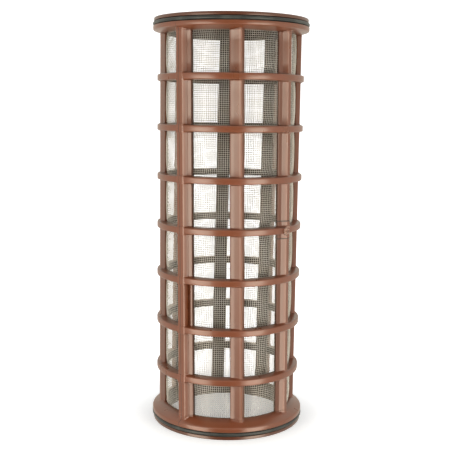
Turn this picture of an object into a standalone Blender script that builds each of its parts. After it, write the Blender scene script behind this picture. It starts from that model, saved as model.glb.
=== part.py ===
"""Filter screen: a woven wire tube carried by a moulded cage, with a sealing ring in each end flange."""

import math

import bmesh
import bpy

# Driving dimensions, in metres and degrees; each radius is built up from the bore
HEIGHT = 0.283
BORE_RADIUS = 0.0453
EDGE_WALL = 0.0005
FOOT_WALL = 0.0009

RIB_DEPTH = 0.0039
RIB_RADIUS = BORE_RADIUS + RIB_DEPTH
RIB_FOOT_ANGLE = 12.2
RIB_TWIST = 18.0
PARTING_ANGLE = -38.0
PARTING_CREST = (-4.4, 1.5)
SHELF_DROP = 0.0013
SHELF_WALL = 0.0017
SLANTED_CREST = (1.7, 3.2)
DRAW_CREST = (1.0, 5.0)

RING_COUNT = 7
BOTTOM_BAY = 0.03875
TOP_BAY = 0.04025
RING_STEP = 0.0018
RING_RADIUS = RIB_RADIUS + RING_STEP
RING_ROOT = 0.0050
RING_SHOULDER = 0.0043
RING_CREST = 0.0026
RING_ROUND = 0.0008
PARTING_PROUD = 0.0002
PARTING_RADIUS = RING_RADIUS + PARTING_PROUD

FLANGE_STEP = 0.0030
FLANGE_RADIUS = RING_RADIUS + FLANGE_STEP
LIP_HEIGHT = 0.0022
LIP_STEP = 0.0006
LIP_CHAMFER = 0.0004
LAND_HEIGHT = 0.0028
BOTTOM_CONE = 0.0042
TOP_CONE = 0.0024
SEAT_DEPTH = 0.0030
COLLAR_STEP = 0.0005

SEAL_CORD = 0.0026
SEAL_PROUD = 0.0002
SEAL_CLEARANCE = 0.0003

POCKET_RING = 1
POCKET_ANGLES = (2.0, 4.9)
POCKET_FLOOR = 0.0009

GATE_RING = 3
GATE_OFFSET = -2.8
GATE_RADIUS = 0.0065
GATE_PAD = 0.0003
SPRUE_RADIUS = 0.0019
SPRUE_LENGTH = 0.0022
SPRUE_SPREAD = 0.62

SCREEN_CLEARANCE = 0.0003
SCREEN_WALL = 0.00045
SCREEN_CRIMP = 0.0002
SCREEN_SWELL = 0.0019
SCREEN_MARGIN = 0.0004
SCREEN_CELLS = 3

RIB_COUNT = 8
TURN_STEPS = 48
RIB_STEPS = 8
SEAL_SIDES = 8
OVERCUT = 0.002

# Sizes worked out from those above
groove_height = SEAL_CORD + 2 * SEAL_CLEARANCE
groove_radius = FLANGE_RADIUS + SEAL_PROUD - SEAL_CORD - SEAL_CLEARANCE
land_end = LIP_HEIGHT + groove_height + LAND_HEIGHT
bottom_rim = land_end + BOTTOM_CONE
top_rim = HEIGHT - land_end - TOP_CONE
bottom_seat = bottom_rim - SEAT_DEPTH
top_seat = top_rim + SEAT_DEPTH
screen_outer = BORE_RADIUS - SCREEN_CLEARANCE
screen_middle = screen_outer - SCREEN_CRIMP - SCREEN_WALL / 2
screen_inner = screen_middle - SCREEN_CRIMP - SCREEN_WALL / 2
collar_radius = screen_inner - COLLAR_STEP
blank_radius = collar_radius - OVERCUT
ring_pitch = (HEIGHT - BOTTOM_BAY - TOP_BAY) / (RING_COUNT - 1)
ring_heights = [BOTTOM_BAY + ring_pitch * number for number in range(RING_COUNT)]
rib_spacing = 360 / RIB_COUNT
rib_bottom = land_end - LAND_HEIGHT / 2
rib_top = HEIGHT - rib_bottom


def twist_at(height):
    """Degrees by which the ribs have turned at a height, none at mid-height."""
    return RIB_TWIST * (HEIGHT / 2 - height)


def polar(radius, degrees, height=0.0):
    """A point on a cylinder; zero degrees faces -Y and the angle grows towards +X."""
    turn = math.radians(degrees)
    return radius * math.sin(turn), -radius * math.cos(turn), height


def new_collection(name):
    collection = bpy.data.collections.new(name)
    bpy.context.scene.collection.children.link(collection)
    return collection


def new_material(name, colour, roughness, metallic):
    material = bpy.data.materials.new(name)
    material.use_nodes = True
    shader = material.node_tree.nodes["Principled BSDF"]
    shader.inputs["Base Color"].default_value = (*colour, 1.0)
    shader.inputs["Roughness"].default_value = roughness
    shader.inputs["Metallic"].default_value = metallic
    return material


def new_object(name, shape, collection, material=None):
    """An object made from a finished bmesh."""
    mesh = bpy.data.meshes.new(name)
    shape.to_mesh(mesh)
    shape.free()
    if material:
        mesh.materials.append(material)
    thing = bpy.data.objects.new(name, mesh)
    collection.objects.link(thing)
    return thing


def hide_as_tool(thing):
    thing.hide_render = True
    thing.display_type = "WIRE"
    return thing


def turned(name, profile, collection, material=None):
    """A closed profile of radius and height, listed down its outer side, turned by a Screw modifier."""
    shape = bmesh.new()
    points = [shape.verts.new((radius, 0.0, height)) for radius, height in profile]
    for number, point in enumerate(points):
        shape.edges.new((point, points[(number + 1) % len(points)]))
    thing = new_object(name, shape, collection, material)
    screw = thing.modifiers.new("turn", "SCREW")
    screw.steps = TURN_STEPS
    screw.render_steps = TURN_STEPS
    screw.use_merge_vertices = True
    screw.merge_threshold = 0.00001
    return thing


def join_or_cut(thing, tool, operation):
    boolean = thing.modifiers.new(f"{operation.lower()} {tool.name}", "BOOLEAN")
    boolean.operation = operation
    boolean.solver = "EXACT"
    if isinstance(tool, bpy.types.Collection):
        boolean.operand_type = "COLLECTION"
        boolean.collection = tool
    else:
        boolean.object = tool


# The end flanges: lip, ring groove, land and cone, seen from the end face inwards
def flange_profile(cone):
    groove_start = LIP_HEIGHT
    groove_end = groove_start + groove_height
    lip_radius = FLANGE_RADIUS - LIP_STEP
    return [
        (blank_radius, land_end + cone),
        (BORE_RADIUS + EDGE_WALL, land_end + cone),
        (FLANGE_RADIUS, land_end),
        (FLANGE_RADIUS, groove_end),
        (groove_radius, groove_end),
        (groove_radius, groove_start),
        (lip_radius, groove_start),
        (lip_radius, LIP_CHAMFER),
        (lip_radius - LIP_CHAMFER, 0.0),
        (blank_radius, 0.0),
    ]


def upside_down(profile):
    """The same profile on the top end, still listed down its outer side."""
    return [(radius, HEIGHT - height) for radius, height in reversed(profile)]


# The hoops round the cage: a root, a tapered shoulder and a rounded crest
def ring_profile(middle):
    upper = [
        (blank_radius, RING_ROOT / 2),
        (RING_RADIUS - RING_ROUND, RING_SHOULDER / 2),
        (RING_RADIUS, RING_CREST / 2),
    ]
    lower = [(radius, -height) for radius, height in reversed(upper)]
    return [(radius, middle + height) for radius, height in upper + lower]


# The upright ribs, each a section swept up the cage with the slow twist of the moulding
def rib_sections():
    """Line of every rib and its outside: radius and angle from the line, at mid-height."""
    foot = RIB_FOOT_ANGLE / 2
    wall = BORE_RADIUS + FOOT_WALL
    edge = BORE_RADIUS + EDGE_WALL
    parting = [
        (wall, -foot),
        (PARTING_RADIUS, PARTING_CREST[0]),
        (PARTING_RADIUS, PARTING_CREST[1]),
        (RIB_RADIUS - SHELF_DROP, PARTING_CREST[1]),
        (BORE_RADIUS + SHELF_WALL, foot),
    ]
    slanted = [(wall, -foot), (RIB_RADIUS, SLANTED_CREST[0]), (RIB_RADIUS, SLANTED_CREST[1]), (edge, foot)]
    draw = [(wall, -foot), (RIB_RADIUS, DRAW_CREST[0]), (RIB_RADIUS, DRAW_CREST[1]), (edge, foot)]
    mirrored = [(radius, -angle) for radius, angle in reversed(slanted)]
    half_turn = [parting, slanted, draw, mirrored]
    for number in range(RIB_COUNT):
        yield PARTING_ANGLE + rib_spacing * number, half_turn[number % len(half_turn)]


def make_rib(name, line, outside, collection):
    turn = line + twist_at(rib_bottom)
    outline = [(blank_radius, outside[0][1]), *outside, (blank_radius, outside[-1][1])]
    shape = bmesh.new()
    points = [shape.verts.new(polar(radius, turn + angle, rib_bottom)) for radius, angle in outline]
    section = shape.faces.new(points)
    length = rib_top - rib_bottom
    bmesh.ops.spin(
        shape,
        geom=[section, *section.edges, *section.verts],
        cent=(0, 0, 0),
        axis=(0, 0, 1),
        dvec=(0, 0, length / RIB_STEPS),
        angle=math.radians(-RIB_TWIST * length),
        steps=RIB_STEPS,
    )
    bmesh.ops.recalc_face_normals(shape, faces=shape.faces)
    return hide_as_tool(new_object(name, shape, collection))


# The gate where the plastic came in: a round pad over one crossing, with the stub of its sprue
def gate_angle():
    draw_line = PARTING_ANGLE + 2 * rib_spacing
    return draw_line + GATE_OFFSET + twist_at(ring_heights[GATE_RING])


def round_boss(name, radius, tip_radius, start, end, collection):
    """A round boss that stands out from the cage along the gate's line."""
    shape = bmesh.new()
    bmesh.ops.create_cone(
        shape, cap_ends=True, segments=16, radius1=radius, radius2=tip_radius, depth=end - start
    )
    boss = new_object(name, shape, collection)
    angle = gate_angle()
    boss.location = polar((start + end) / 2, angle, ring_heights[GATE_RING])
    boss.rotation_euler = (math.pi / 2, 0.0, math.radians(angle))
    return hide_as_tool(boss)


# The pocket sunk in one flank of the left parting rib, over one bay
def make_pocket(collection):
    bottom = ring_heights[POCKET_RING] + RING_ROOT / 2
    top = ring_heights[POCKET_RING + 1] - RING_ROOT / 2
    first, last = (PARTING_ANGLE + twist_at((bottom + top) / 2) + angle for angle in POCKET_ANGLES)
    floor = BORE_RADIUS + POCKET_FLOOR
    reach = RIB_RADIUS + OVERCUT
    outline = [(floor, first), (reach, first), (reach, last), (floor, last)]
    shape = bmesh.new()
    section = shape.faces.new([shape.verts.new(polar(radius, angle, bottom)) for radius, angle in outline])
    grown = bmesh.ops.extrude_face_region(shape, geom=[section])["geom"]
    upper = [piece for piece in grown if isinstance(piece, bmesh.types.BMVert)]
    bmesh.ops.translate(shape, verts=upper, vec=(0, 0, top - bottom))
    bmesh.ops.recalc_face_normals(shape, faces=shape.faces)
    return hide_as_tool(new_object("pocket_cutter", shape, collection))


# The bore: a seat for the wire tube between the collars of the two flanges
def bore_profile():
    return [
        (collar_radius, HEIGHT + OVERCUT),
        (collar_radius, top_seat),
        (BORE_RADIUS, top_seat),
        (BORE_RADIUS, bottom_seat),
        (collar_radius, bottom_seat),
        (collar_radius, -OVERCUT),
        (blank_radius / 2, -OVERCUT),
        (blank_radius / 2, HEIGHT + OVERCUT),
    ]


def make_frame(parts, cutters, material):
    blanks = bpy.data.collections.new("cage_blanks")
    cutters.children.link(blanks)
    frame = turned("frame", flange_profile(BOTTOM_CONE), parts, material)
    hide_as_tool(turned("top_flange_blank", upside_down(flange_profile(TOP_CONE)), blanks))
    for number, middle in enumerate(ring_heights):
        hide_as_tool(turned(f"ring_blank_{number + 1}", ring_profile(middle), blanks))
    for number, (line, outside) in enumerate(rib_sections()):
        make_rib(f"rib_blank_{number + 1}", line, outside, blanks)
    pad_end = RIB_RADIUS + GATE_PAD
    stub_end = RING_RADIUS + SPRUE_LENGTH
    round_boss("gate_pad_blank", GATE_RADIUS, GATE_RADIUS, BORE_RADIUS, pad_end, blanks)
    round_boss("sprue_blank", SPRUE_RADIUS, SPRUE_RADIUS * SPRUE_SPREAD, BORE_RADIUS, stub_end, blanks)
    join_or_cut(frame, blanks, "UNION")
    join_or_cut(frame, make_pocket(cutters), "DIFFERENCE")
    join_or_cut(frame, hide_as_tool(turned("bore_cutter", bore_profile(), cutters)), "DIFFERENCE")
    return frame


def make_seal(name, middle, parts, material):
    bpy.ops.mesh.primitive_torus_add(
        major_segments=TURN_STEPS,
        minor_segments=SEAL_SIDES,
        major_radius=FLANGE_RADIUS + SEAL_PROUD - SEAL_CORD / 2,
        minor_radius=SEAL_CORD / 2,
        location=(0, 0, middle),
    )
    seal = bpy.context.object
    seal.name = name
    seal.data.name = name
    seal.data.shade_smooth()
    seal.data.materials.append(material)
    for collection in list(seal.users_collection):
        collection.objects.unlink(seal)
    parts.objects.link(seal)
    return seal


# The wire tube: straight behind the ribs and hoops, swollen and crimped between them like pressed
# wire cloth, and open in the middle of every window
def swollen_steps(low, high):
    """Places across one window, with the share of the full swell at each."""
    for number in range(SCREEN_CELLS + 1):
        along = number / SCREEN_CELLS
        yield low + (high - low) * along, 1 - abs(2 * along - 1) ** 3


def screen_columns():
    foot = RIB_FOOT_ANGLE / 2 + math.degrees(SCREEN_MARGIN / BORE_RADIUS)
    for number in range(RIB_COUNT):
        line = PARTING_ANGLE + rib_spacing * number
        yield from swollen_steps(line + foot, line + rib_spacing - foot)


def screen_rows():
    margin = RING_ROOT / 2 + SCREEN_MARGIN
    lows = [bottom_rim + SCREEN_MARGIN, *[middle + margin for middle in ring_heights]]
    highs = [*[middle - margin for middle in ring_heights], top_rim - SCREEN_MARGIN]
    yield bottom_seat + SCREEN_CLEARANCE, 0.0
    for low, high in zip(lows, highs):
        yield from swollen_steps(low, high)
    yield top_seat - SCREEN_CLEARANCE, 0.0


def make_screen(parts, material):
    columns = list(screen_columns())
    rows = list(screen_rows())
    shape = bmesh.new()
    wires = []
    for row, (height, upright_share) in enumerate(rows):
        wire = []
        for column, (angle, across_share) in enumerate(columns):
            crimp = SCREEN_CRIMP if (row + column) % 2 else -SCREEN_CRIMP
            radius = screen_middle + crimp + SCREEN_SWELL * upright_share * across_share
            wire.append(shape.verts.new(polar(radius, angle + twist_at(height), height)))
        wires.append(wire)
    steps = SCREEN_CELLS + 1
    middle = SCREEN_CELLS // 2
    for row, (lower, upper) in enumerate(zip(wires, wires[1:])):
        for column in range(len(columns)):
            if (row - 1) % steps == middle and column % steps == middle:
                continue
            beside = (column + 1) % len(columns)
            shape.faces.new((lower[column], lower[beside], upper[beside], upper[column]))
    screen = new_object("wire_screen", shape, parts, material)
    wall = screen.modifiers.new("wall", "SOLIDIFY")
    wall.thickness = SCREEN_WALL
    wall.offset = 0.0
    return screen


def main():
    for thing in list(bpy.data.objects):
        bpy.data.objects.remove(thing)
    parts = new_collection("filter_screen")
    cutters = new_collection("filter_screen_cutters")
    plastic = new_material("moulded_polypropylene", (0.23, 0.072, 0.036), 0.45, 0.0)
    wire = new_material("stainless_wire", (0.62, 0.61, 0.58), 0.35, 1.0)
    rubber = new_material("nitrile_rubber", (0.03, 0.034, 0.033), 0.5, 0.0)
    make_frame(parts, cutters, plastic)
    make_screen(parts, wire)
    seal_middle = LIP_HEIGHT + groove_height / 2
    make_seal("bottom_o_ring", seal_middle, parts, rubber)
    make_seal("top_o_ring", HEIGHT - seal_middle, parts, rubber)


main()
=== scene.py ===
import math
import random

import bmesh
import bpy
from mathutils import Matrix, Vector, noise


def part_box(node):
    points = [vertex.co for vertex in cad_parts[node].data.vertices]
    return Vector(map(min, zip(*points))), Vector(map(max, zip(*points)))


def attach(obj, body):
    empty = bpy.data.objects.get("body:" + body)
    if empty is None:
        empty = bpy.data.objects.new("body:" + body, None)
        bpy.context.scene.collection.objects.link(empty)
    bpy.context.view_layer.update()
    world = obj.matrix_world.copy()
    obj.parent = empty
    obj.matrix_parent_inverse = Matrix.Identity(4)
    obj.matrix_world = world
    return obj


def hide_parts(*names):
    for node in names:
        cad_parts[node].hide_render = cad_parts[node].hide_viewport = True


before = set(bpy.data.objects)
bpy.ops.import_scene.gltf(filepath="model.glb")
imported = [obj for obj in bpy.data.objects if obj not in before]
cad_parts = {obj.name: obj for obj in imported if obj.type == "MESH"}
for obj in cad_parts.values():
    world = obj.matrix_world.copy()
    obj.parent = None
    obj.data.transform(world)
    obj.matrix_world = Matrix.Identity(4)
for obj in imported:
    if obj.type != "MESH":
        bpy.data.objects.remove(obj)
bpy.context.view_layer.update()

mm = 0.001
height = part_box("frame")[1][2]        # end face to end face
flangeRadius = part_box("frame")[1][0]  # outside of the lips

# Places that the cage, the cloth and the gate mark share, in metres and degrees
layout = {
    "bore": flangeRadius - 8.7 * mm,  # inside of the cage
    "rim": 0.5 * mm,                  # wall left at the inner rim of a cone
    "ribCrest": flangeRadius - 4.8 * mm,
    "ringCrest": flangeRadius - 3.0 * mm,
    "ringCount": 7,
    "bottomBay": 38.75 * mm,          # bottom end to the middle of the lowest hoop
    "topBay": 40.25 * mm,
    "ringRoot": 5.0 * mm,             # height of a hoop where it leaves the bore
    "ribCount": 8,
    "ribFoot": 6.1,                   # half the angle that a rib's foot covers
    "partingAngle": -38.0,            # first rib, seen from the front
    "twist": 18.0,                    # degrees for each metre, downwards
    "landEnd": 8.2 * mm,              # end face to the start of the cone
    "bottomCone": 4.2 * mm,
    "topCone": 2.4 * mm,
    "seatDepth": 3.0 * mm,            # cone rim down to the ledge that holds the wire tube
    "gateRing": 3,                    # the gate mark sits where this hoop crosses this rib
    "gateRib": 2,
}
ringPitch = (height - layout["bottomBay"] - layout["topBay"]) / (layout["ringCount"] - 1)
ringHeights = [layout["bottomBay"] + ringPitch * number for number in range(layout["ringCount"])]
ribSpacing = 360 / layout["ribCount"]
bottomRim = layout["landEnd"] + layout["bottomCone"]
topRim = height - layout["landEnd"] - layout["topCone"]


def twistAt(level):
    # the ribs turn slowly from top to bottom
    return layout["twist"] * (height / 2 - level)


def polar(radius, degrees, level=0.0):
    # zero degrees faces -Y and the angle grows towards +X
    turn = math.radians(degrees)
    return Vector((radius * math.sin(turn), -radius * math.cos(turn), level))


def mix(low, high, share):
    return low + (high - low) * share


def softMax(first, second, blend):
    # the larger of two radii, with a fillet where they meet
    near = max(blend - abs(first - second), 0.0) / blend
    return max(first, second) + near * near * blend / 4


def newPiece(name, shape, material):
    mesh = bpy.data.meshes.new(name)
    shape.to_mesh(mesh)
    shape.free()
    mesh.materials.append(material)
    piece = bpy.data.objects.new(name, mesh)
    bpy.context.scene.collection.objects.link(piece)
    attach(piece, "root")
    return piece


# Material helpers
def colour(code):
    # sRGB hex to linear
    parts = [int(code[place:place + 2], 16) / 255 for place in (1, 3, 5)]
    return (*[part / 12.92 if part <= 0.04045 else ((part + 0.055) / 1.055) ** 2.4 for part in parts], 1.0)


def addNode(tree, kind, inputs, **settings):
    node = tree.nodes.new("ShaderNode" + kind)
    for key, value in settings.items():
        setattr(node, key, value)
    for key, value in inputs.items():
        if isinstance(value, bpy.types.NodeSocket):
            tree.links.new(value, node.inputs[key])
        else:
            node.inputs[key].default_value = value
    return node


def newMaterial(name):
    material = bpy.data.materials.new(name)
    material.use_nodes = True
    tree = material.node_tree
    tree.nodes.clear()
    return material, tree


def objectPlace(tree):
    return addNode(tree, "TexCoord", {}).outputs["Object"]


# Moulded polypropylene, reddish brown: satin, with faint flow marks down the ribs, edges painted paler as
# partly rubbed wear and partly painted highlight, and painted shade in the hollows, on the lips and inside
# the cage
plastic = {
    "brown": "#844A2C",
    "red": "#884B30",
    "wearAndHighlight": "#EBCDBE",
    "shadeAndScarColour": "#22120B",          # painted shade: the hollows, the lips, the dark lines and the inside of the cage are darker and duller; also the colour of the gate scar
    "flowWidth": 7 * mm,
    "flowLength": 4,               # the flow marks are this many times longer than wide
    "flowRange": (0.35, 0.65),     # part of the noise that turns brown into red
    "grain": 0.35 * mm,            # coarser than the real grain, so that it shows
    "grainBump": (0.12, 0.02 * mm),
    "roughness": (0.25, 0.32),
    "dullFrom": 0.5,               # where the painted shade is deeper than this, it adds up to this roughness
    "dull": 0.3,
    "ior": 1.55,
    "gloss": 0.8,
}


def makePlastic():
    material, tree = newMaterial("moulded_polypropylene")
    place = objectPlace(tree)
    stretched = addNode(tree, "Mapping", {"Vector": place, "Scale": (1.0, 1.0, 1 / plastic["flowLength"])})
    flow = addNode(tree, "TexNoise", {
        "Vector": stretched.outputs[0], "Scale": 1 / plastic["flowWidth"] / 2,
        "Detail": 3.0, "Roughness": 0.6,
    })
    first, last = plastic["flowRange"]
    tone = addNode(tree, "MapRange", {"Value": flow.outputs["Fac"], "From Min": first, "From Max": last})
    body = addNode(tree, "Mix", {
        "Factor": tone.outputs[0], 6: colour(plastic["brown"]), 7: colour(plastic["red"]),
    }, data_type="RGBA")
    # edges painted paler: partly rubbed wear, partly painted highlight
    wearAndHighlight = addNode(tree, "Attribute", {}, attribute_name="wearAndHighlight")
    wornAndHighlit = addNode(tree, "Mix", {
        "Factor": wearAndHighlight.outputs["Fac"], 6: body.outputs[2], 7: colour(plastic["wearAndHighlight"]),
    }, data_type="RGBA")
    # painted shade, mixed in towards a dark brown, and the gate scar
    shadeAndScar = addNode(tree, "Attribute", {}, attribute_name="shadeAndScar")
    shadeAndScarColour = addNode(tree, "Mix", {
        "Factor": shadeAndScar.outputs["Fac"], 6: wornAndHighlit.outputs[2], 7: colour(plastic["shadeAndScarColour"]),
    }, data_type="RGBA")
    low, high = plastic["roughness"]
    gloss = addNode(tree, "MapRange", {"Value": flow.outputs["Fac"], "To Min": low, "To Max": high})
    deep = addNode(tree, "MapRange", {
        "Value": shadeAndScar.outputs["Fac"], "From Min": plastic["dullFrom"], "To Max": plastic["dull"],
    })
    dulled = addNode(tree, "Math", {0: deep.outputs[0], 1: gloss.outputs[0]}, operation="ADD")
    grain = addNode(tree, "TexNoise", {"Vector": place, "Scale": 1 / plastic["grain"] / 2, "Detail": 2.0})
    strength, depth = plastic["grainBump"]
    bump = addNode(tree, "Bump", {"Height": grain.outputs["Fac"], "Strength": strength, "Distance": depth})
    shader = addNode(tree, "BsdfPrincipled", {
        "Base Color": shadeAndScarColour.outputs[2], "Roughness": dulled.outputs[0], "Normal": bump.outputs[0],
        "IOR": plastic["ior"], "Specular IOR Level": plastic["gloss"],
    })
    addNode(tree, "OutputMaterial", {"Surface": shader.outputs[0]})
    return material


# Drawn stainless wire: bright, with a soft draw-line gloss and slightly warmer patches
wireFinish = {
    "bright": "#D9D8D4",
    "warm": "#C6C1B7",
    "patch": 9 * mm,
    "patchRange": (0.4, 0.7),
    "roughness": 0.38,
}


def makeWire():
    material, tree = newMaterial("drawn_stainless_wire")
    place = objectPlace(tree)
    patch = addNode(tree, "TexNoise", {"Vector": place, "Scale": 1 / wireFinish["patch"] / 2, "Detail": 3.0})
    first, last = wireFinish["patchRange"]
    tone = addNode(tree, "MapRange", {"Value": patch.outputs["Fac"], "From Min": first, "From Max": last})
    body = addNode(tree, "Mix", {
        "Factor": tone.outputs[0], 6: colour(wireFinish["bright"]), 7: colour(wireFinish["warm"]),
    }, data_type="RGBA")
    shader = addNode(tree, "BsdfPrincipled", {
        "Base Color": body.outputs[2], "Roughness": wireFinish["roughness"], "Metallic": 1.0,
    })
    addNode(tree, "OutputMaterial", {"Surface": shader.outputs[0]})
    return material


# Moulded nitrile rubber: near black with a green-grey bloom, and a soft highlight along its top
rubber = {
    "body": "#2E3333",
    "bloom": "#555A57",
    "patch": 6 * mm,
    "patchRange": (0.45, 0.75),
    "roughness": (0.32, 0.5),
    "ior": 1.52,
}


def makeRubber():
    material, tree = newMaterial("nitrile_rubber")
    place = objectPlace(tree)
    patch = addNode(tree, "TexNoise", {"Vector": place, "Scale": 1 / rubber["patch"] / 2, "Detail": 4.0})
    first, last = rubber["patchRange"]
    tone = addNode(tree, "MapRange", {"Value": patch.outputs["Fac"], "From Min": first, "From Max": last})
    body = addNode(tree, "Mix", {
        "Factor": tone.outputs[0], 6: colour(rubber["body"]), 7: colour(rubber["bloom"]),
    }, data_type="RGBA")
    low, high = rubber["roughness"]
    gloss = addNode(tree, "MapRange", {"Value": patch.outputs["Fac"], "To Min": low, "To Max": high})
    shader = addNode(tree, "BsdfPrincipled", {
        "Base Color": body.outputs[2], "Roughness": gloss.outputs[0], "IOR": rubber["ior"],
    })
    addNode(tree, "OutputMaterial", {"Surface": shader.outputs[0]})
    return material


# The cage: one moulding, made as a flat lattice that is wrapped round the bore
cage = {
    "parting": (-4.4, 1.5),        # crest of each kind of rib, in degrees from its line
    "slanted": (1.7, 3.2),
    "draw": (1.0, 5.0),
    "footWall": 0.9 * mm,          # upright wall at the foot of a flank
    "steepWall": 0.5 * mm,         # and of a drafted wall
    "crestRound": 0.35 * mm,
    "slantRise": 0.6 * mm,         # the crest of a slanted rib still rises to its far edge
    "drawFoot": (0.6 * mm, -2.7),  # the flank of a draw rib starts flatter, up to this height and angle
    "drawRound": 1.5 * mm,
    "shelfSlope": 1.5,             # degrees that the ridge's wall takes to reach the shelf
    "shelfRound": 0.6 * mm,
    "ridgeProud": 0.2 * mm,        # the parting ribs stand out past the hoops
    "shelfDrop": 1.55 * mm,        # and step down to a shelf under the other crests
    "shelfWall": 1.7 * mm,
    "partLine": -1.8,              # where the two mould halves met, on the parting ribs
    "partGap": 0.42,               # degrees
    "partStep": 0.14 * mm,
    "ringHalf": 2.1 * mm,          # half the height of a hoop below its rounded crest
    "ringRound": 0.85 * mm,
    "fillet": 0.6 * mm,            # where ribs meet hoops and cones
    "blend": 0.3 * mm,             # and how softly they run together
    "inside": flangeRadius - 10.0 * mm,  # the plastic closes round the cloth behind ribs and hoops
    "collar": flangeRadius - 10.35 * mm,
    "collarEdge": 0.3 * mm,        # broken edge of the collar at the end face
    "lip": 2.2 * mm,
    "lipStep": 0.6 * mm,           # the lip is smaller than the land
    "lipRound": 0.4 * mm,
    "groove": 3.2 * mm,
    "grooveFloor": flangeRadius - 2.7 * mm,
    "grooveRound": 0.2 * mm,
    "grooveEdge": 0.25 * mm,
    "landRound": 1.1 * mm,
    "ribStart": 1.5 * mm,          # the ribs begin this far inside the land
    "roundSteps": 3,               # faces across a rounded corner
    "coneSteps": 6,
    "windowSteps": 7,
    "baySteps": 4,
    "flankShares": (0.12, 0.5, 0.88),    # extra columns across a flank wider than this
    "flankWidth": 1.2,             # degrees
    "windowEdge": 0.1,             # degrees between a rib's foot and the first column beside it
    "pocketRing": 1,               # the pocket lies above this hoop, on the first rib
    "pocket": (2.0, 4.9),          # degrees from the rib's line
    "pocketWall": 0.05,
    "pocketFloor": 0.9 * mm,
    "padReach": 6.0 * mm,          # the gate pad stands out above and below the gate's hoop
    "padProud": 0.35 * mm,
    "padLine": 0.25 * mm,          # half the height of the dark line round it
    "scar": 0.4,                   # how dark the hoop is where the gate was torn off
    "scarMiddle": -4.0,            # degrees from the rib's line
    "scarReach": 9.0,
    "edgeWearAndHighlight": 0.22,                   # how pale the edges are painted: partly rubbed wear, partly painted highlight
    "edgeWearAndHighlightReach": 0.5,               # degrees
    "flashHighlight": 0.55,                 # and the painted highlight on the two streaks of flash at the foot of a parting rib
    "footShade": 0.3,                  # painted shade at the foot of a flank
    "footShadeReach": 1.5 * mm,        # this far below the crests
    # painted shade on the lips at both ends
    "lipShade": 0.5,
    "lineShade": 0.9,              # painted shadow in the parting line and in the line round the pad
}


def rounded(corners, steps):
    # joins (radius, level, rounding) corners and turns each rounded one into a short curve
    path = []
    for number, (radius, level, rounding) in enumerate(corners):
        here = Vector((radius, level))
        if not rounding:
            path.append(here)
            continue
        before = Vector(corners[number - 1][:2]) - here
        after = Vector(corners[number + 1][:2]) - here
        reach = rounding / math.tan(before.angle(after) / 2)
        start = here + before.normalized() * reach
        end = here + after.normalized() * reach
        for step in range(steps + 1):
            share = step / steps
            path.append(start * (1 - share) ** 2 + here * 2 * share * (1 - share) + end * share ** 2)
    return path


def flangeRows(cone):
    # from the end face inwards: lip, ring groove, land and cone, with the bore beside it
    grooveEnd = cage["lip"] + cage["groove"]
    floor = cage["grooveFloor"]
    lipRadius = flangeRadius - cage["lipStep"]
    rim = (layout["bore"] + layout["rim"], layout["landEnd"] + cone, 0)
    outline = rounded([
        (cage["collar"] + cage["collarEdge"], 0, 0),
        (lipRadius, 0, cage["lipRound"]),
        (lipRadius, cage["lip"], cage["grooveEdge"]),
        (floor, cage["lip"], cage["grooveRound"]),
        (floor, grooveEnd, cage["grooveRound"]),
        (flangeRadius, grooveEnd, cage["grooveEdge"]),
        (flangeRadius, layout["landEnd"], cage["landRound"]),
        rim,
    ], cage["roundSteps"])
    steps = cage["coneSteps"]
    slope = [outline[-2].lerp(outline[-1], step / steps) for step in range(1, steps)]
    outer = outline[:-1] + slope + outline[-1:]
    seat = layout["landEnd"] + cone - layout["seatDepth"]
    seatRows = 4                   # rows of the bore between the seat and the rim of the cone
    inner = []
    for number in range(len(outer)):
        past = number - len(outer) + seatRows
        if past < 0:
            share = number / (len(outer) - seatRows - 1)
            inner.append((cage["collar"], mix(cage["collarEdge"], seat, share)))
        else:
            share = past / (seatRows - 1)
            inner.append((cage["inside"], mix(seat, layout["landEnd"] + cone, share)))
    ribStart = layout["landEnd"] - cage["ribStart"]
    return [
        {"outer": tuple(point), "inner": wall, "ribs": point[1] > ribStart, "lift": 0.0}
        for point, wall in zip(outer, inner)
    ]


def straightRow(level, radius=0.0, lift=0.0):
    return {"outer": (radius, level), "inner": (cage["inside"], level), "ribs": True, "lift": lift}


def ringRows(middle):
    half = rounded([
        (layout["bore"] + layout["rim"] / 2, -layout["ringRoot"] / 2, 0),
        (layout["ringCrest"], -cage["ringHalf"], cage["ringRound"]),
        (layout["ringCrest"], 0, 0),
    ], cage["roundSteps"])
    both = half + [Vector((point[0], -point[1])) for point in reversed(half[:-1])]
    return [straightRow(middle + point[1], point[0], cage["fillet"]) for point in both]


def bayRows(low, high):
    # straight ribs between two hoops, with a fillet at each end and a step where the gate pad ends
    reach = cage["fillet"]
    filletShares = (0.25, 0.6, 1.0)
    steps = cage["baySteps"]
    levels = [mix(low + reach, high - reach, step / steps) for step in range(1, steps)]
    for edge in (-cage["padReach"], cage["padReach"]):
        middle = ringHeights[layout["gateRing"]] + edge
        if low + reach < middle < high - reach:
            levels += [middle + cage["padLine"] * share for share in (-2, -1, 1, 2)]
    lifts = [(reach * share, reach * (1 - share) ** 2) for share in filletShares]
    start = [straightRow(low + away, lift=lift) for away, lift in lifts]
    end = [straightRow(high - away, lift=lift) for away, lift in reversed(lifts)]
    return start + [straightRow(level) for level in sorted(levels)] + end


def flipped(rows):
    # the same rows at the top end
    turned = []
    for row in reversed(rows):
        outer = (row["outer"][0], height - row["outer"][1])
        inner = (row["inner"][0], height - row["inner"][1])
        turned.append({**row, "outer": outer, "inner": inner})
    return turned


def cageRows():
    half = layout["ringRoot"] / 2
    rows = flangeRows(layout["bottomCone"])
    bays = []
    levels = [bottomRim, *ringHeights, topRim]
    for number, (low, high) in enumerate(zip(levels, levels[1:])):
        start = low + (half if number else 0)
        end = high - (half if number < len(ringHeights) else 0)
        first = len(rows) - 1
        rows += bayRows(start, end)
        bays.append((first, len(rows)))
        if number < len(ringHeights):
            rows += ringRows(high)
    return rows + flipped(flangeRows(layout["topCone"])), bays


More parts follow.
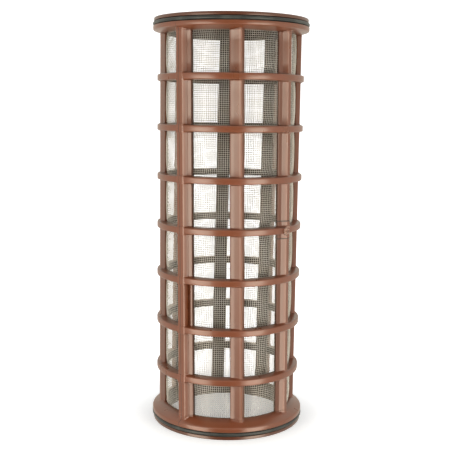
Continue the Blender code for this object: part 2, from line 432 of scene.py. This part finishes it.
def ribOutline(kind):
    # outside of one kind of rib: radius and degrees from its line, with rounded corners
    foot = layout["ribFoot"]
    crest = layout["ribCrest"]
    wall = layout["bore"] + cage["footWall"]
    edge = layout["bore"] + cage["steepWall"]
    bend = cage["crestRound"]
    start, end = cage["slanted" if kind == "mirrored" else kind]
    corners = [
        (wall, -foot, 0),
        (crest - cage["slantRise"], start, bend),
        (crest, end, bend),
        (edge, foot, 0),
    ]
    if kind == "draw":
        rise, turn = cage["drawFoot"]
        corners = [
            (wall, -foot, 0),
            (wall + rise, turn, cage["drawRound"]),
            (crest, start, bend),
            (crest, end, bend),
            (edge, foot, 0),
        ]
    if kind == "parting":
        ridge = layout["ringCrest"] + cage["ridgeProud"]
        line, gap = cage["partLine"], cage["partGap"]
        corners = [
            (wall, -foot, 0),
            (ridge, start, bend),
            (ridge, line - gap, 0),
            (ridge - cage["partStep"], line, 0),
            (ridge - cage["partStep"] / 3, line + gap, 0),
            (ridge, end, bend),
            (crest - cage["shelfDrop"], end + cage["shelfSlope"], cage["shelfRound"]),
            (layout["bore"] + cage["shelfWall"], foot, 0),
        ]
    across = math.radians(1) * crest
    flat = [(radius, offset * across, corner) for radius, offset, corner in corners]
    outline = [(point[0], point[1] / across) for point in rounded(flat, cage["roundSteps"])]
    if kind == "mirrored":
        outline = [(radius, -offset) for radius, offset in reversed(outline)]
    return outline


def ribRadius(outline, offset):
    # radius of the straight flank between two corners
    for (low, first), (high, last) in zip(outline, outline[1:]):
        if first <= offset <= last and last > first:
            turns = (last - first, offset - first, last - offset)
            across, before, after = (math.sin(math.radians(turn)) for turn in turns)
            return low * high * across / (low * before + high * after)
    return outline[-1][0]


def cageColumns():
    # the columns follow the corners of every rib, with a few more across flanks and windows
    columns = []
    windows = []
    foot = layout["ribFoot"]
    kinds = ["parting", "slanted", "draw", "mirrored"]
    for number in range(layout["ribCount"]):
        kind = kinds[number % len(kinds)]
        outline = ribOutline(kind)
        offsets = {round(offset, 3) for radius, offset in outline}
        if kind == "parting" and number == 0:
            for wall in cage["pocket"]:
                offsets |= {wall - cage["pocketWall"], wall + cage["pocketWall"]}
        for low, high in zip(sorted(offsets), sorted(offsets)[1:]):
            if high - low > cage["flankWidth"]:
                offsets |= {mix(low, high, share) for share in cage["flankShares"]}
        line = layout["partingAngle"] + ribSpacing * number
        for offset in sorted(offsets):
            columns.append({
                "angle": line + offset, "offset": offset, "kind": kind, "rib": number,
                "radius": ribRadius(outline, offset),
            })
        first = len(columns) - 1
        clear = ribSpacing - 2 * foot
        edge = cage["windowEdge"]
        inner = [clear * step / cage["windowSteps"] for step in range(1, cage["windowSteps"])]
        for turn in [edge, *inner, clear - edge]:
            columns.append({
                "angle": line + foot + turn, "offset": None, "kind": None, "rib": None, "radius": 0.0,
            })
        windows.append((first, len(columns)))
    return columns, windows


def outsideAt(column, row):
    # radius of the cage's outside where a column and a row of the lattice meet
    radius, level = row["outer"]
    if not row["ribs"] or not column["radius"]:
        return radius
    rib = column["radius"]
    low = ringHeights[cage["pocketRing"]]
    first, last = cage["pocket"]
    if column["rib"] == 0 and first < column["offset"] < last and low < level < low + ringPitch:
        rib = layout["bore"] + cage["pocketFloor"]
    away = abs(level - ringHeights[layout["gateRing"]])
    if column["rib"] == layout["gateRib"] and away < cage["padReach"]:
        rib += cage["padProud"]
    return softMax(radius, rib + row["lift"], cage["blend"])


def wearAndHighlightAt(column, row):
    # how pale an edge is painted: partly rubbed wear and partly painted highlight, and a painted highlight
    # on the flash streaks
    if column["offset"] is None or row["outer"][0] > layout["ribCrest"]:
        return 0.0
    kind = column["kind"]
    if kind == "parting" and layout["landEnd"] < row["outer"][1] < bottomRim:
        streaks = (cage["partLine"] - cage["partGap"], cage["parting"][1])
        near = 0.05                # degrees
        # painted highlight on the two flash streaks
        return cage["flashHighlight"] if min(abs(column["offset"] - streak) for streak in streaks) < near else 0.0
    edges = cage["slanted" if kind == "mirrored" else kind]
    offset = -column["offset"] if kind == "mirrored" else column["offset"]
    nearest = min(abs(offset - edge) for edge in edges)
    return cage["edgeWearAndHighlight"] * max(0.0, 1 - nearest / cage["edgeWearAndHighlightReach"])


def shadeAndScarAt(column, row, radius):
    # painted shade on the lips, in the parting line, at the foot of a flank and in the line round the gate
    # pad, and the darker scar where the gate was torn off
    level = row["outer"][1]
    lip = cage["lip"] + cage["groove"]
    if level < lip or level > height - lip:
        # painted shade on the lips
        return cage["lipShade"]
    if column["kind"] == "parting" and row["ribs"]:
        onLine = abs(column["offset"] - cage["partLine"]) < 0.01
        if onLine:
            # painted shadow in the parting line
            return cage["lineShade"]
    # painted shade, deeper the further a point lies below the crests
    footShade = cage["footShade"] * min(max((layout["ribCrest"] - radius) / cage["footShadeReach"], 0.0), 1.0)
    away = abs(level - ringHeights[layout["gateRing"]])
    nearPadEnd = abs(away - cage["padReach"]) < 1.5 * cage["padLine"]    # only the rows on either side
    if column["rib"] == layout["gateRib"] and nearPadEnd:
        # painted shadow in the line round the pad
        return cage["lineShade"]
    if radius > layout["ribCrest"] and away < layout["ringRoot"] / 2:
        middle = layout["partingAngle"] + ribSpacing * layout["gateRib"] + cage["scarMiddle"]
        turn = abs(column["angle"] - middle)
        return max(footShade, cage["scar"] * (1 - turn / cage["scarReach"]))
    return footShade


def makeCage():
    rows, bays = cageRows()
    columns, windows = cageColumns()
    across, up = len(columns), len(rows) - 1
    shape = bmesh.new()
    bmesh.ops.create_grid(shape, x_segments=across, y_segments=up, size=1.0)
    bmesh.ops.transform(shape, verts=shape.verts, matrix=Matrix.Diagonal((across / 2, up / 2, 1, 1)))
    bmesh.ops.translate(shape, verts=shape.verts, vec=(across / 2, up / 2, 0))
    holes = []
    for face in shape.faces:
        centre = face.calc_center_median()
        inWindow = any(first < centre.x < last for first, last in windows)
        if inWindow and any(first < centre.y < last for first, last in bays):
            holes.append(face)
    bmesh.ops.delete(shape, geom=holes, context="FACES")
    grown = bmesh.ops.extrude_face_region(shape, geom=shape.faces[:])["geom"]
    inside = [point for point in grown if isinstance(point, bmesh.types.BMVert)]
    bmesh.ops.translate(shape, verts=inside, vec=(0, 0, 1))
    # the walls along the lattice's two ends would lie inside the closed tube
    ends = [face for face in shape.faces if all(round(point.co.x) % across == 0 for point in face.verts)]
    bmesh.ops.delete(shape, geom=ends, context="FACES_ONLY")
    wearAndHighlight = shape.verts.layers.float.new("wearAndHighlight")
    shadeAndScar = shape.verts.layers.float.new("shadeAndScar")
    for point in shape.verts:
        column = columns[round(point.co.x) % across]
        row = rows[round(point.co.y)]
        turns = 360 if round(point.co.x) == across else 0
        if point.co.z > 0.5:       # the skin that was lifted off becomes the inside
            radius, level = row["inner"]
            # the inside of the cage gets the full painted shade
            point[shadeAndScar] = 1.0
        else:
            radius, level = outsideAt(column, row), row["outer"][1]
            point[wearAndHighlight] = wearAndHighlightAt(column, row)
            point[shadeAndScar] = shadeAndScarAt(column, row, radius)
        point.co = polar(radius, column["angle"] + twistAt(level) + turns, level)
    bmesh.ops.remove_doubles(shape, verts=shape.verts, dist=0.001 * mm)
    bmesh.ops.recalc_face_normals(shape, faces=shape.faces)
    for face in shape.faces:
        face.smooth = True
    print("cage:", len(shape.faces), "faces,", across, "columns,", up + 1, "rows")
    return shape


# The woven wire tube: plain weave, one wire of each pair over where the other is under
cloth = {
    "uprights": 204,
    "pitch": 1.38 * mm,
    "wire": 0.125 * mm,               # radius
    "crimp": 0.13 * mm,
    "radius": flangeRadius - 9.42 * mm,
    "clear": 0.3 * mm,                # between the wires' ends and their seats
    "bulge": 1.9 * mm,                # how far the cloth swells into a window
    "slack": (1.0, 1.0, 0.45, 0.8, 1.0, 0.9, 0.8, 1.0),  # share of that for each window round the cage
    "wave": 0.12 * mm,                # and how unevenly
    "waveScale": 90,                  # for each metre, so a wave is about 11 mm long
    "sides": 4,
}


def swell(angle, level):
    # the cloth pillows out between the ribs and the hoops
    window, line = divmod((angle - layout["partingAngle"] - twistAt(level)) % 360, ribSpacing)
    slack = cloth["slack"][int(window)]
    across = (line / ribSpacing - 0.5) * ribSpacing / (ribSpacing / 2 - layout["ribFoot"])
    levels = [bottomRim - layout["ringRoot"] / 2, *ringHeights, topRim + layout["ringRoot"] / 2]
    for low, high in zip(levels, levels[1:]):
        if low < level < high:
            upright = (level - (low + high) / 2) / ((high - low - layout["ringRoot"]) / 2)
            if abs(across) < 1 and abs(upright) < 1:
                return cloth["bulge"] * slack * (1 - abs(across) ** 3) * (1 - abs(upright) ** 3)
    return 0.0


def drape(shape):
    # moves straight wires to the shape of the cloth
    for point in shape.verts:
        angle = math.degrees(math.atan2(point.co.x, -point.co.y))
        out = swell(angle, point.co.z)
        out += cloth["wave"] * noise.noise(point.co * cloth["waveScale"]) * (out / cloth["bulge"])
        away = Vector((point.co.x, point.co.y, 0)).normalized()
        point.co += away * out
    for face in shape.faces:
        face.smooth = True


def clothRows():
    # number of pitches between the two seats, and the level of the first hoop wire
    low = bottomRim - layout["seatDepth"] + cloth["clear"]
    high = topRim + layout["seatDepth"] - cloth["clear"]
    rows = int((high - low - 2 * cloth["wire"]) / cloth["pitch"])
    return rows, (low + high - rows * cloth["pitch"]) / 2


def makeUprights(count):
    # neighbouring wires have opposite crimps, so they are made in pairs
    shape = bmesh.new()
    rows, start = clothRows()
    step = 360 / cloth["uprights"]
    for phase in (0, 1):
        ring = bmesh.ops.create_circle(shape, cap_ends=True, radius=cloth["wire"], segments=cloth["sides"])
        verts = ring["verts"]
        bmesh.ops.translate(shape, verts=verts, vec=(0, -cloth["radius"], start))
        faces = list({face for vert in verts for face in vert.link_faces})
        edges = list({edge for vert in verts for edge in vert.link_edges})
        before = set(shape.verts) - set(verts)
        bmesh.ops.spin(
            shape, geom=verts + edges + faces, cent=(0, 0, 0), axis=(0, 0, 1),
            dvec=(0, 0, cloth["pitch"]), angle=0, steps=rows,
        )
        wire = [vert for vert in shape.verts if vert not in before]
        for vert in wire:
            crossing = round((vert.co.z - start) / cloth["pitch"])
            vert.co.y -= cloth["crimp"] if (crossing + phase) % 2 else -cloth["crimp"]
        turn = Matrix.Rotation(math.radians(step * phase), 4, "Z")
        bmesh.ops.transform(shape, verts=wire, matrix=turn)
    bmesh.ops.recalc_face_normals(shape, faces=shape.faces)
    pair = shape.verts[:] + shape.edges[:] + shape.faces[:]
    bmesh.ops.spin(
        shape, geom=pair, cent=(0, 0, 0), axis=(0, 0, 1),
        angle=math.radians(2 * step * (count - 1)), steps=count - 1, use_duplicate=True,
    )
    return shape


def makeHoops(first, count):
    shape = bmesh.new()
    rows, start = clothRows()
    for phase in (0, 1):
        ring = bmesh.ops.create_circle(shape, cap_ends=False, radius=cloth["wire"], segments=cloth["sides"])
        verts = ring["verts"]
        bmesh.ops.rotate(shape, verts=verts, matrix=Matrix.Rotation(math.pi / 2, 3, "Y"))
        bmesh.ops.translate(shape, verts=verts, vec=(0, -cloth["radius"], 0))
        edges = list({edge for vert in verts for edge in vert.link_edges})
        before = set(shape.verts) - set(verts)
        bmesh.ops.spin(
            shape, geom=verts + edges, cent=(0, 0, 0), axis=(0, 0, 1),
            angle=math.radians(360), steps=cloth["uprights"], use_merge=True,
        )
        wire = [vert for vert in shape.verts if vert not in before]
        for vert in wire:
            angle = math.degrees(math.atan2(vert.co.x, -vert.co.y))
            crossing = round(angle * cloth["uprights"] / 360)
            away = Vector((vert.co.x, vert.co.y, 0)).normalized()
            vert.co += away * (-cloth["crimp"] if (crossing + phase) % 2 else cloth["crimp"])
        level = start + cloth["pitch"] * (first + phase)
        bmesh.ops.translate(shape, verts=wire, vec=(0, 0, level))
    bmesh.ops.recalc_face_normals(shape, faces=shape.faces)
    pair = shape.verts[:] + shape.edges[:] + shape.faces[:]
    bmesh.ops.spin(
        shape, geom=pair, cent=(0, 0, 0), axis=(0, 0, 1), dvec=(0, 0, 2 * cloth["pitch"]),
        angle=0, steps=count - 1, use_duplicate=True,
    )
    return shape


# The two sealing rings
seal = {
    "cord": 1.3 * mm,                 # radius of the cord
    "proud": 0.2 * mm,
    "height": 3.8 * mm,
    "sides": 20,
    "steps": 160,
}


def makeSeal(level):
    shape = bmesh.new()
    bmesh.ops.create_circle(shape, cap_ends=False, radius=seal["cord"], segments=seal["sides"])
    bmesh.ops.rotate(shape, verts=shape.verts, matrix=Matrix.Rotation(math.pi / 2, 3, "Y"))
    middle = flangeRadius + seal["proud"] - seal["cord"]
    bmesh.ops.translate(shape, verts=shape.verts, vec=(0, -middle, level))
    bmesh.ops.spin(
        shape, geom=shape.verts[:] + shape.edges[:], cent=(0, 0, 0), axis=(0, 0, 1),
        angle=math.radians(360), steps=seal["steps"], use_merge=True,
    )
    bmesh.ops.recalc_face_normals(shape, faces=shape.faces)
    for face in shape.faces:
        face.smooth = True
    return shape


# The gate mark: the torn stub of the sprue on one crossing, with slivers painted pale as a painted highlight
gate = {
    "offset": -2.8,                # degrees from the rib's line
    "sunk": 0.4 * mm,              # foot of the stub, inside the hoop's crest
    "stub": 2.1 * mm,
    "length": 1.3 * mm,
    "taper": 0.7,
    "slivers": 26,
    "sliverTurn": 12,              # degrees, either way
    "sliverReach": (0.1, 1.15),    # share of the stub's radius
    "sliverSize": (0.4 * mm, 0.9 * mm),
    "sliverLength": (1.4 * mm, 2.8 * mm),
    "sliverTaper": 0.3,
    "bend": 0.6,                   # how far the tips lean, as a share of their size
    "droop": (-0.6, 0.4),
    "spread": 0.35,
    "sides": 9,
    "pale": (0.5, 1.0),
}


def standOut(shape, verts, angle, level):
    # turns geometry built along +Z so that it stands out from the cage
    lean = Matrix.Rotation(math.radians(angle), 4, "Z") @ Matrix.Rotation(math.pi / 2, 4, "X")
    bmesh.ops.transform(shape, verts=verts, matrix=Matrix.Translation((0, 0, level)) @ lean)


def makeGateMark():
    shape = bmesh.new()
    level = ringHeights[layout["gateRing"]]
    angle = layout["partingAngle"] + ribSpacing * layout["gateRib"] + gate["offset"] + twistAt(level)
    random.seed(7)
    crest = layout["ringCrest"] - gate["sunk"]
    spines = [(0.0, 0.0, gate["stub"], gate["length"], gate["taper"])]
    for number in range(gate["slivers"]):
        loose = random.uniform(-gate["sliverTurn"], gate["sliverTurn"])
        turn = math.radians(360 / gate["slivers"] * number + loose)
        reach = gate["stub"] * random.uniform(*gate["sliverReach"])
        size = random.uniform(*gate["sliverSize"])
        length = random.uniform(*gate["sliverLength"])
        spines.append((reach * math.cos(turn), reach * math.sin(turn), size, length, gate["sliverTaper"]))
    for right, up, size, length, taper in spines:
        spine = bmesh.ops.create_cone(
            shape, cap_ends=True, segments=gate["sides"], radius1=size, radius2=size * taper, depth=length,
        )["verts"]
        bmesh.ops.translate(shape, verts=spine, vec=(right, up, crest + length / 2))
        for vert in spine:
            if vert.co.z > crest + length / 2:
                lean = Vector((random.uniform(-1, 1), random.uniform(-1, 1), random.uniform(*gate["droop"])))
                vert.co += lean * size * gate["bend"] + Vector((right, up, 0)) * gate["spread"]
    wearAndHighlight = shape.verts.layers.float.new("wearAndHighlight")
    # the stub and its slivers are painted pale at random: a painted highlight
    for vert in shape.verts:
        vert[wearAndHighlight] = random.uniform(*gate["pale"])
    standOut(shape, shape.verts, angle, level)
    bmesh.ops.recalc_face_normals(shape, faces=shape.faces)
    return shape


# Floor, world, lamps and camera
studio = {
    "front": 0.15,                    # how bright reflections find the room, by direction
    "back": 0.9,
    "turn": (-0.9, -0.3),             # from front to back, as the direction's Y
    "overhead": 1.0,
    "rise": (0.2, 0.8),               # from round about to overhead, as its Z
    "roomColour": "#FBF5E6",
    "fill": 0.30,                     # even light on the pieces from all round
    "backdrop": 1.3,
    "lampColour": "#FFF2DE",
    "lamps": [
        # name, azimuth from the camera's side, distance, lowest and highest point, width, watts
        ("left_softbox", -41.0, 0.50, -0.34, 0.28, 0.27, 2.55),
        ("right_softbox", 41.0, 0.50, -0.34, 0.28, 0.27, 2.45),
    ],
}
paper = {
    "colour": "#E4EBF0",
    "reach": 6.0,                     # half its side
    "roughness": 0.8,
    "shade": (0.04, 0.12),            # metres from the axis between which its glow fades inwards
    "underneath": 0.36,               # to this: painted shade under and round the cage, which also lets the shadow show
}
camera = {
    "lens": 68.0,                     # millimetres, as the sensor
    "sensor": 36.0,
    "place": (0.0, -0.6047, 0.2213),
    "down": 7.772,                    # degrees
    "left": 0.193,
    "roll": 0.687,
}


def makeWorld():
    world = bpy.data.worlds.new("studio")
    bpy.context.scene.world = world
    world.use_nodes = True
    tree = world.node_tree
    tree.nodes.clear()
    direction = addNode(tree, "TexCoord", {}).outputs["Generated"]
    parts = addNode(tree, "SeparateXYZ", {"Vector": direction})
    first, last = studio["turn"]
    walls = addNode(tree, "MapRange", {
        "Value": parts.outputs["Y"], "From Min": first, "From Max": last,
        "To Min": studio["front"], "To Max": studio["back"],
    }, interpolation_type="SMOOTHSTEP")
    low, high = studio["rise"]
    above = addNode(tree, "MapRange", {
        "Value": parts.outputs["Z"], "From Min": low, "From Max": high,
    }, interpolation_type="SMOOTHSTEP")
    room = addNode(tree, "Mix", {
        "Factor": above.outputs[0], 2: walls.outputs[0], 3: studio["overhead"],
    }, data_type="FLOAT")
    rays = addNode(tree, "LightPath", {})
    glossy = addNode(tree, "Mix", {
        "Factor": rays.outputs["Is Glossy Ray"], 2: studio["fill"], 3: room.outputs[0],
    }, data_type="FLOAT")
    seen = addNode(tree, "Math", {
        0: rays.outputs["Is Camera Ray"], 1: rays.outputs["Is Transmission Ray"],
    }, operation="MAXIMUM")
    strength = addNode(tree, "Mix", {
        "Factor": seen.outputs[0], 2: glossy.outputs[0], 3: studio["backdrop"],
    }, data_type="FLOAT")
    tint = addNode(tree, "Mix", {
        "Factor": rays.outputs["Is Glossy Ray"], 6: (1, 1, 1, 1), 7: colour(studio["roomColour"]),
    }, data_type="RGBA")
    background = addNode(tree, "Background", {"Color": tint.outputs[2], "Strength": strength.outputs[0]})
    addNode(tree, "OutputWorld", {"Surface": background.outputs[0]})


def makeFloor():
    # white paper: matt, and bright only to the camera and through clear things
    shape = bmesh.new()
    bmesh.ops.create_grid(shape, x_segments=1, y_segments=1, size=paper["reach"])
    mesh = bpy.data.meshes.new("floor")
    shape.to_mesh(mesh)
    shape.free()
    floor = bpy.data.objects.new("floor", mesh)
    bpy.context.scene.collection.objects.link(floor)
    material, tree = newMaterial("white_paper")
    place = objectPlace(tree)
    reach = addNode(tree, "VectorMath", {0: place}, operation="LENGTH")
    near, far = paper["shade"]
    # the paper is painted darker towards the axis: painted shade under and inside the cage
    glow = addNode(tree, "MapRange", {
        "Value": reach.outputs["Value"], "From Min": near, "From Max": far,
        "To Min": paper["underneath"], "To Max": studio["backdrop"],
    })
    rays = addNode(tree, "LightPath", {})
    seen = addNode(tree, "Math", {
        0: rays.outputs["Is Camera Ray"], 1: rays.outputs["Is Transmission Ray"],
    }, operation="MAXIMUM")
    shown = addNode(tree, "Math", {0: glow.outputs[0], 1: seen.outputs[0]}, operation="MULTIPLY")
    shader = addNode(tree, "BsdfPrincipled", {
        "Base Color": colour(paper["colour"]), "Roughness": paper["roughness"],
        "Emission Color": (1, 1, 1, 1), "Emission Strength": shown.outputs[0],
    })
    addNode(tree, "OutputMaterial", {"Surface": shader.outputs[0]})
    mesh.materials.append(material)
    floor.visible_glossy = False


def makeLamps():
    for name, azimuth, distance, low, high, width, watts in studio["lamps"]:
        lamp = bpy.data.lights.new(name, "AREA")
        lamp.shape = "RECTANGLE"
        lamp.size = width
        lamp.size_y = high - low
        lamp.energy = watts
        lamp.color = colour(studio["lampColour"])[:3]
        thing = bpy.data.objects.new(name, lamp)
        bpy.context.scene.collection.objects.link(thing)
        thing.location = polar(distance, azimuth, (low + high) / 2)
        thing.rotation_euler = (math.pi / 2, 0, math.radians(azimuth))
        thing.visible_camera = False


def makeCamera():
    lens = bpy.data.cameras.new("camera")
    lens.lens = camera["lens"]
    lens.sensor_width = camera["sensor"]
    view = bpy.data.objects.new("camera", lens)
    bpy.context.scene.collection.objects.link(view)
    turn = Matrix.Rotation(math.radians(camera["left"]), 4, "Z")
    tilt = Matrix.Rotation(math.radians(90 - camera["down"]), 4, "X")
    roll = Matrix.Rotation(math.radians(camera["roll"]), 4, "Z")
    view.matrix_world = Matrix.Translation(camera["place"]) @ turn @ tilt @ roll
    bpy.context.scene.camera = view


# Building the scene
makeCamera()
makeWorld()
makeFloor()
makeLamps()
bpy.context.scene.view_settings.view_transform = "Standard"
print("studio ready")

moulded = makePlastic()
drawnWire = makeWire()
nitrile = makeRubber()

sharpAngle = math.radians(40)
cagePiece = newPiece("moulded_cage", makeCage(), moulded)
cagePiece.data.set_sharp_from_angle(angle=sharpAngle)
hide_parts("frame")
gatePiece = newPiece("gate_mark", makeGateMark(), moulded)
gatePiece.data.set_sharp_from_angle(angle=sharpAngle)
print("cage ready")

# the cloth is made in four pieces, to keep each one light
for side, turned in (("left", 0), ("right", 180)):
    shape = makeUprights(cloth["uprights"] // 4)
    bmesh.ops.rotate(shape, verts=shape.verts, matrix=Matrix.Rotation(math.radians(turned), 3, "Z"))
    drape(shape)
    piece = newPiece(f"upright_wires_{side}", shape, drawnWire)
    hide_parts("wire_screen")
wirePairs = (clothRows()[0] + 1) // 2
lowerPairs = wirePairs // 2
for part, first, count in (("lower", 0, lowerPairs), ("upper", 2 * lowerPairs, wirePairs - lowerPairs)):
    shape = makeHoops(first, count)
    drape(shape)
    piece = newPiece(f"hoop_wires_{part}", shape, drawnWire)
    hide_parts("wire_screen")
print("wire cloth ready")

for node, level in (("bottom_o_ring", seal["height"]), ("top_o_ring", height - seal["height"])):
    piece = newPiece(f"{node}_cord", makeSeal(level), nitrile)
    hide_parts(node)
print("sealing rings ready")
